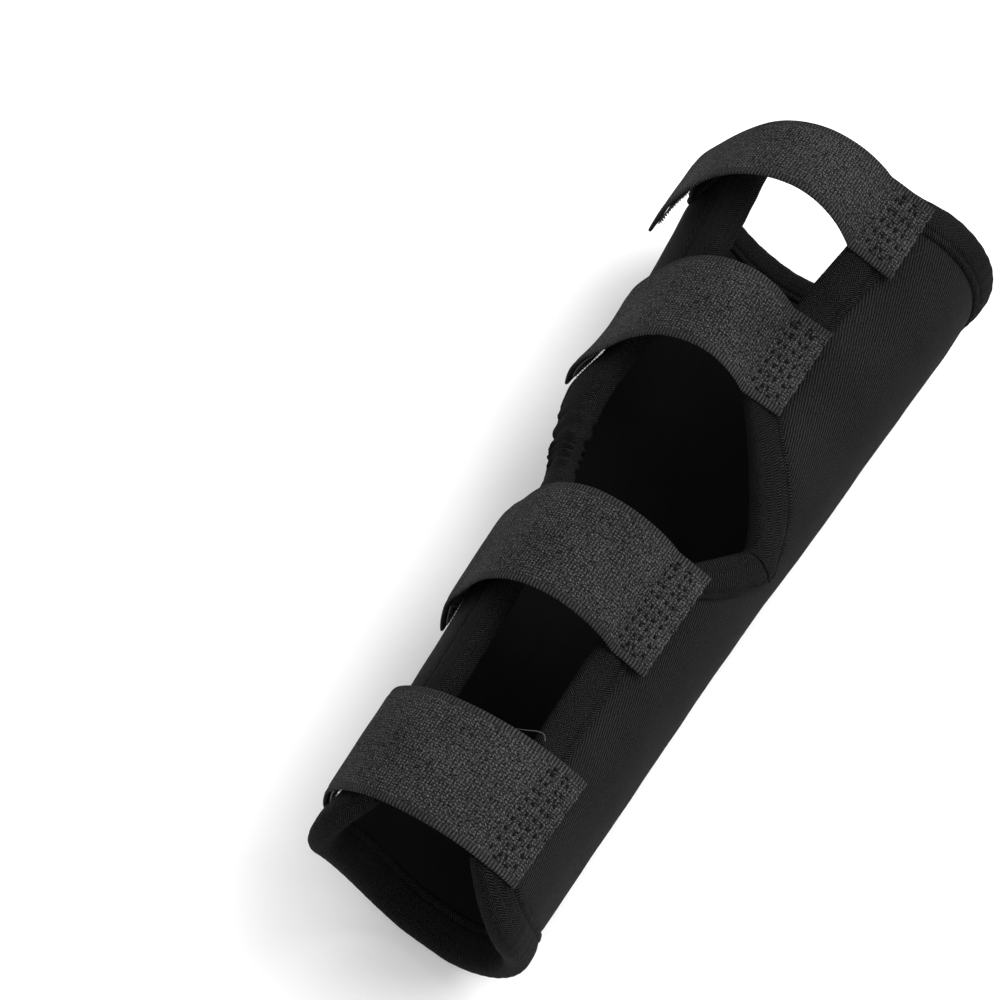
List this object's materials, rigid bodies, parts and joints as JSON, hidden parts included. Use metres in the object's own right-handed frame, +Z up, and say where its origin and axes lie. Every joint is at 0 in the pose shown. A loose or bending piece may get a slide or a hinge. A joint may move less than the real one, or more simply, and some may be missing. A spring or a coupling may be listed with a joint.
{
  "type": "wrist guard",
  "caption": "Padded C-shaped wrist guard sleeve, open along its top with a thumb notch, bound edges, a hidden stay and hook-and-loop straps sewn to one side.",
  "frame": {"origin": "on the ground, under the middle of the guard's bounding box, straps included", "axes": "+Y along the sleeve from the narrow hand end to the wide forearm end, +Z up out of the slit, +X towards the wing that the straps are sewn to"},
  "size_m": [0.098, 0.2542, 0.0839],
  "materials": {
    "cover_fabric": "matte black knit-faced foam laminate",
    "lining_fabric": "matte black brushed lining",
    "binding_tape": "matte black twill binding tape",
    "strap_webbing": "dark grey loop-faced tape with ribbed edges",
    "hook_tape": "black hook tape",
    "stay_aluminium": "plain mill finish, hidden inside"
  },
  "bodies": {
    "back": {"back_cover": "cover_fabric", "back_lining": "lining_fabric", "back_stay": "stay_aluminium", "hand_binding_back": "binding_tape", "forearm_binding_back": "binding_tape"},
    "right_wing": {"right_wing_cover": "cover_fabric", "right_wing_lining": "lining_fabric", "right_wing_slit_binding_hand": "binding_tape", "right_wing_slit_binding_forearm": "binding_tape", "hand_binding_right_wing": "binding_tape", "forearm_binding_right_wing": "binding_tape", "strap_1_sewn_end": "strap_webbing", "strap_2_sewn_end": "strap_webbing", "strap_3_sewn_end": "strap_webbing", "strap_4_sewn_end": "strap_webbing"},
    "left_wing": {"left_wing_cover": "cover_fabric", "left_wing_lining": "lining_fabric", "left_wing_slit_binding_hand": "binding_tape", "left_wing_slit_binding_forearm": "binding_tape", "hand_binding_left_wing": "binding_tape", "forearm_binding_left_wing": "binding_tape"},
    "strap_1": {"strap_1_webbing": "strap_webbing", "strap_1_hook_patch": "hook_tape"},
    "strap_2": {"strap_2_webbing": "strap_webbing", "strap_2_hook_patch": "hook_tape"},
    "strap_3": {"strap_3_webbing": "strap_webbing", "strap_3_hook_patch": "hook_tape"},
    "strap_4": {"strap_4_webbing": "strap_webbing", "strap_4_hook_patch": "hook_tape"}
  },
  "joints": [
    {"name": "right_wing_open", "type": "hinge", "parent": "back", "child": "right_wing", "pos_m": [0.04206, 0.0024, 0.03483], "axis": [0.0608, 0.9981, -0.0098], "range_deg": [0, 72]},
    {"name": "left_wing_open", "type": "hinge", "parent": "back", "child": "left_wing", "pos_m": [-0.04006, 0.0024, 0.03483], "axis": [-0.0608, 0.9981, -0.0098], "range_deg": [-7.2, 0]},
    {"name": "strap_1_peel", "type": "hinge", "parent": "right_wing", "child": "strap_1", "pos_m": [0.01394, 0.11194, 0.07308], "axis": [0.0362, 0.9811, 0.19], "range_deg": [0, 110]},
    {"name": "strap_2_peel", "type": "hinge", "parent": "right_wing", "child": "strap_2", "pos_m": [0.00838, 0.05981, 0.06616], "axis": [0.0207, 0.9956, 0.0915], "range_deg": [0, 100]},
    {"name": "strap_3_peel", "type": "hinge", "parent": "right_wing", "child": "strap_3", "pos_m": [0.01667, -0.02649, 0.06383], "axis": [0.0198, 0.9969, -0.0762], "range_deg": [0, 115]},
    {"name": "strap_4_peel", "type": "hinge", "parent": "right_wing", "child": "strap_4", "pos_m": [0.01936, -0.09785, 0.07249], "axis": [0.0081, 0.9788, -0.2045], "range_deg": [0, 145]}
  ],
  "couplings": [
    {"joint": "left_wing_open", "follows": "right_wing_open", "ratio": -0.1}
  ]
}
